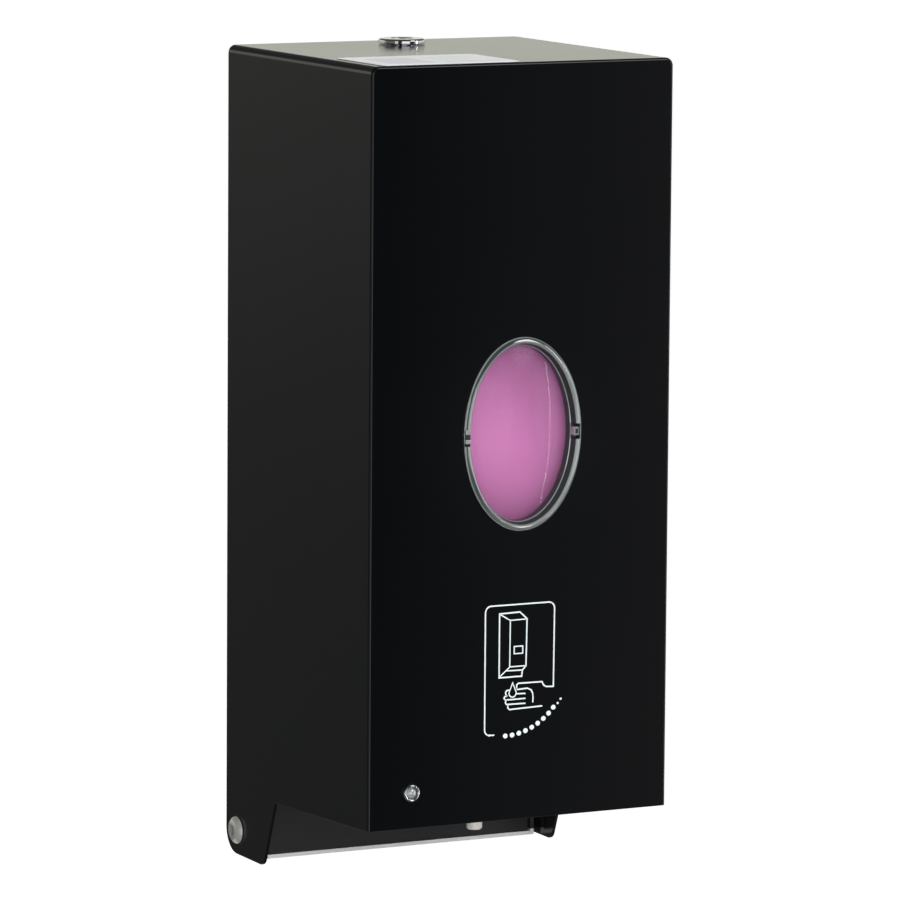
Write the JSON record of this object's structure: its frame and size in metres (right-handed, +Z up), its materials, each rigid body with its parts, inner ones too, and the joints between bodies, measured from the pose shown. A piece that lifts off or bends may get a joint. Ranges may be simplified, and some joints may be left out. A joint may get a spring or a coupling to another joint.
{
  "type": "soap dispenser",
  "caption": "Wall soap dispenser: tall black folded-metal cover, hinged at its lower rear and locked on top, over a soap tank, gear pump, battery box and motor.",
  "frame": {"origin": "on the wall plane at mid width, level with the lower edge of the cover's front", "axes": "+X to the right seen from the front, +Y into the wall, +Z up; the front faces -Y"},
  "size_m": [0.1304, 0.1246, 0.3116],
  "materials": {
    "black_coat": "fine satin black powder coat",
    "stainless": "satin stainless steel",
    "chrome": "polished chrome plate",
    "brass": "machined brass",
    "zinc": "zinc-plated steel",
    "motor_can": null,
    "black_plastic": "moulded black plastic",
    "grey_plastic": "moulded grey plastic",
    "white_nylon": "natural nylon",
    "milky_plastic": "translucent milky plastic",
    "clear_plastic": "clear moulded plastic",
    "dark_window": "dark infrared-passing plastic",
    "pink_soap": "pearly pink liquid soap",
    "rubber": "black rubber",
    "green_board": "green solder-masked board",
    "paper": "pale printed film",
    "cell": null
  },
  "bodies": {
    "root": {"wall_plate": "stainless", "lower_guard": "black_coat", "pivot_bolt_left": "stainless", "pivot_bolt_right": "stainless", "pivot_washer_left": "white_nylon", "pivot_washer_right": "white_nylon", "pivot_nut_left": "stainless", "pivot_nut_right": "stainless", "lock_strike": "stainless", "inner_chassis": "black_plastic", "chassis_screw_1": "zinc", "chassis_screw_2": "zinc", "soap_tank": "milky_plastic", "liquid_soap": "pink_soap", "cap_pin": "stainless", "inlet_seal": "rubber", "pump_housing": "grey_plastic", "pump_cover": "zinc", "pump_screw_1": "zinc", "pump_screw_2": "zinc", "idler_shaft": "stainless", "layshaft_axle": "stainless", "motor": "motor_can", "gear_case": "grey_plastic", "gear_case_lid": "grey_plastic", "nozzle": "milky_plastic", "anti_drip_valve": "rubber", "battery_box": "black_plastic", "battery_1": "cell", "battery_2": "cell", "battery_3": "cell", "battery_4": "cell", "battery_contacts": "zinc", "circuit_board": "green_board", "indicator_led": "clear_plastic", "ir_emitter": "dark_window", "ir_receiver": "dark_window", "sensor_window": "dark_window", "switch_body": "black_plastic"},
    "cover_body": {"cover": "black_coat", "window_lens": "clear_plastic", "window_ring": "black_plastic", "led_bezel": "chrome", "led_lens": "clear_plastic", "lock_barrel": "chrome", "lock_nut": "brass", "top_label": "paper"},
    "lock_core": {"lock_cylinder": "chrome", "lock_cam": "zinc", "cam_screw": "zinc"},
    "tank_lid": {"tank_cap": "white_nylon", "cap_gasket": "rubber"},
    "battery_hatch": {"battery_door": "black_plastic"},
    "power_slider": {"switch_knob": "grey_plastic"},
    "output_train": {"output_gear": "white_nylon", "drive_shaft": "stainless", "pump_drive_gear": "white_nylon"},
    "idler_train": {"pump_idler_gear": "white_nylon"},
    "layshaft_train": {"layshaft_gear": "white_nylon"},
    "motor_rotor": {"motor_pinion": "brass"}
  },
  "joints": [
    {"name": "cover_hinge", "type": "hinge", "parent": "root", "child": "cover_body", "pos_m": [0, -0.0104, -0.0185], "axis": [1, 0, 0], "range_deg": [0, 90]},
    {"name": "lock_turn", "type": "hinge", "parent": "cover_body", "child": "lock_core", "pos_m": [0, -0.022, 0.281], "axis": [0, 0, 1], "range_deg": [0, 90]},
    {"name": "tank_cap_hinge", "type": "hinge", "parent": "root", "child": "tank_lid", "pos_m": [-0.033, -0.058, 0.233], "axis": [-1, 0, 0], "range_deg": [0, 90]},
    {"name": "battery_door_slide", "type": "slide", "parent": "root", "child": "battery_hatch", "axis": [1, 0, 0], "range_m": [0, 0.034]},
    {"name": "power_switch_slide", "type": "slide", "parent": "root", "child": "power_slider", "axis": [1, 0, 0], "range_m": [0, 0.003]},
    {"name": "output_turn", "type": "hinge", "parent": "root", "child": "output_train", "pos_m": [0, -0.08042, 0.042], "axis": [1, 0, 0], "continuous": true},
    {"name": "idler_turn", "type": "hinge", "parent": "root", "child": "idler_train", "pos_m": [0, -0.09158, 0.042], "axis": [1, 0, 0], "continuous": true},
    {"name": "layshaft_turn", "type": "hinge", "parent": "root", "child": "layshaft_train", "pos_m": [0.0149, -0.06107, 0.042], "axis": [1, 0, 0], "continuous": true},
    {"name": "motor_turn", "type": "hinge", "parent": "root", "child": "motor_rotor", "pos_m": [0.0165, -0.04492, 0.042], "axis": [1, 0, 0], "continuous": true}
  ],
  "couplings": [
    {"joint": "idler_turn", "follows": "output_turn", "ratio": -1},
    {"joint": "layshaft_turn", "follows": "output_turn", "ratio": -3},
    {"joint": "motor_turn", "follows": "output_turn", "ratio": 9}
  ]
}
